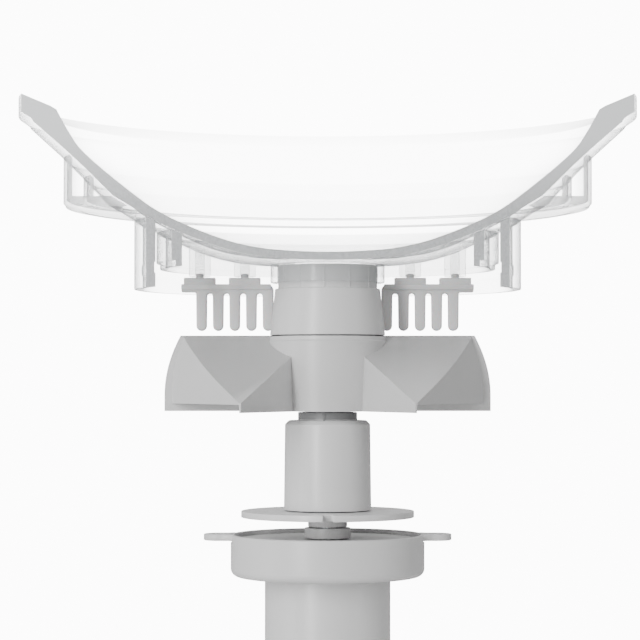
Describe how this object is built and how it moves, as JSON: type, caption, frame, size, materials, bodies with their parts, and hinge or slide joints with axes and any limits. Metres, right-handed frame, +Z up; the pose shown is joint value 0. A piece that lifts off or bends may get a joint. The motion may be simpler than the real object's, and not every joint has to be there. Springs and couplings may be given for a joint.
{
  "type": "automatic pet feeder",
  "caption": "Cutaway feed dispenser: clear hopper with soft comb fingers over a pocketed rotor, turned through a sleeve by a gearmotor on a round foot.",
  "frame": {"origin": "centre of the foot pad's underside, on the rotor's axis", "axes": "+Z up along the rotor's axis, towards the hopper; the hopper is cut open on its -Y side; +X to the right seen from -Y"},
  "size_m": [0.1844, 0.1345, 0.1942],
  "materials": {
    "clear_plastic": "clear gloss",
    "grey_abs": "satin",
    "pale_abs": "satin",
    "silicone": "matt",
    "acetal": "satin",
    "black_plastic": "matt",
    "circuit_board": "gloss",
    "rubber": "matt",
    "steel": "satin",
    "motor_steel": "satin",
    "brass": "satin"
  },
  "bodies": {
    "motor_unit": {"gearbox_housing": "grey_abs", "gearbox_lid": "grey_abs", "output_bush": "grey_abs", "motor_can": "grey_abs", "motor_foot": "grey_abs", "board_connector": "black_plastic", "motor_end_cap": "black_plastic", "position_sensor": "black_plastic", "control_board": "circuit_board", "foot_pad": "rubber", "lay_pin": "steel", "foot_screw_1": "steel", "foot_screw_2": "steel", "foot_screw_3": "steel", "motor_screw_1": "steel", "motor_screw_2": "steel", "lid_screw_1": "steel", "lid_screw_2": "steel", "lid_screw_3": "steel", "lid_screw_4": "steel", "motor_body": "motor_steel", "motor_terminal_1": "brass", "motor_terminal_2": "brass"},
    "rotor_unit": {"rotor": "grey_abs", "rotor_cap": "pale_abs", "rotor_washer": "steel", "rotor_nut": "steel", "drive_sleeve": "pale_abs", "index_disc": "pale_abs", "output_shaft": "steel", "shaft_clip": "steel", "output_gear": "acetal"},
    "lay_unit": {"lay_gear": "acetal", "lay_pinion": "acetal"},
    "motor_rotor": {"motor_shaft": "steel", "motor_pinion": "brass"},
    "hopper_unit": {"hopper_bowl": "clear_plastic", "hopper_skirt": "clear_plastic", "chamber_wall": "clear_plastic", "guide_ring": "clear_plastic", "hopper_collar": "clear_plastic", "comb_bar_left": "silicone", "comb_bar_right": "silicone"},
    "comb_left": {"comb_fingers_left": "silicone"},
    "comb_right": {"comb_fingers_right": "silicone"}
  },
  "joints": [
    {"name": "rotor_spin", "type": "hinge", "parent": "motor_unit", "child": "rotor_unit", "pos_m": [0, 0, 0.1], "axis": [0, 0, 1], "continuous": true},
    {"name": "lay_spin", "type": "hinge", "parent": "motor_unit", "child": "lay_unit", "pos_m": [0, 0.013, 0.056], "axis": [0, 0, 1], "continuous": true},
    {"name": "motor_spin", "type": "hinge", "parent": "motor_unit", "child": "motor_rotor", "pos_m": [0, 0, 0.05], "axis": [0, 0, 1], "continuous": true},
    {"name": "hopper_lift", "type": "slide", "parent": "motor_unit", "child": "hopper_unit", "axis": [0, 0, 1], "range_m": [0, 0.06]},
    {"name": "comb_left_flex", "type": "hinge", "parent": "hopper_unit", "child": "comb_left", "pos_m": [-0.03045, 0.01, 0.13875], "axis": [1, 0, 0], "range_deg": [-12, 12], "stiffness_Nm_per_rad": 0.005},
    {"name": "comb_right_flex", "type": "hinge", "parent": "hopper_unit", "child": "comb_right", "pos_m": [0.03045, 0.01, 0.13875], "axis": [1, 0, 0], "range_deg": [-12, 12], "stiffness_Nm_per_rad": 0.005}
  ],
  "couplings": [
    {"joint": "lay_spin", "follows": "rotor_spin", "ratio": -2.3333},
    {"joint": "motor_spin", "follows": "rotor_spin", "ratio": 5.4444}
  ]
}
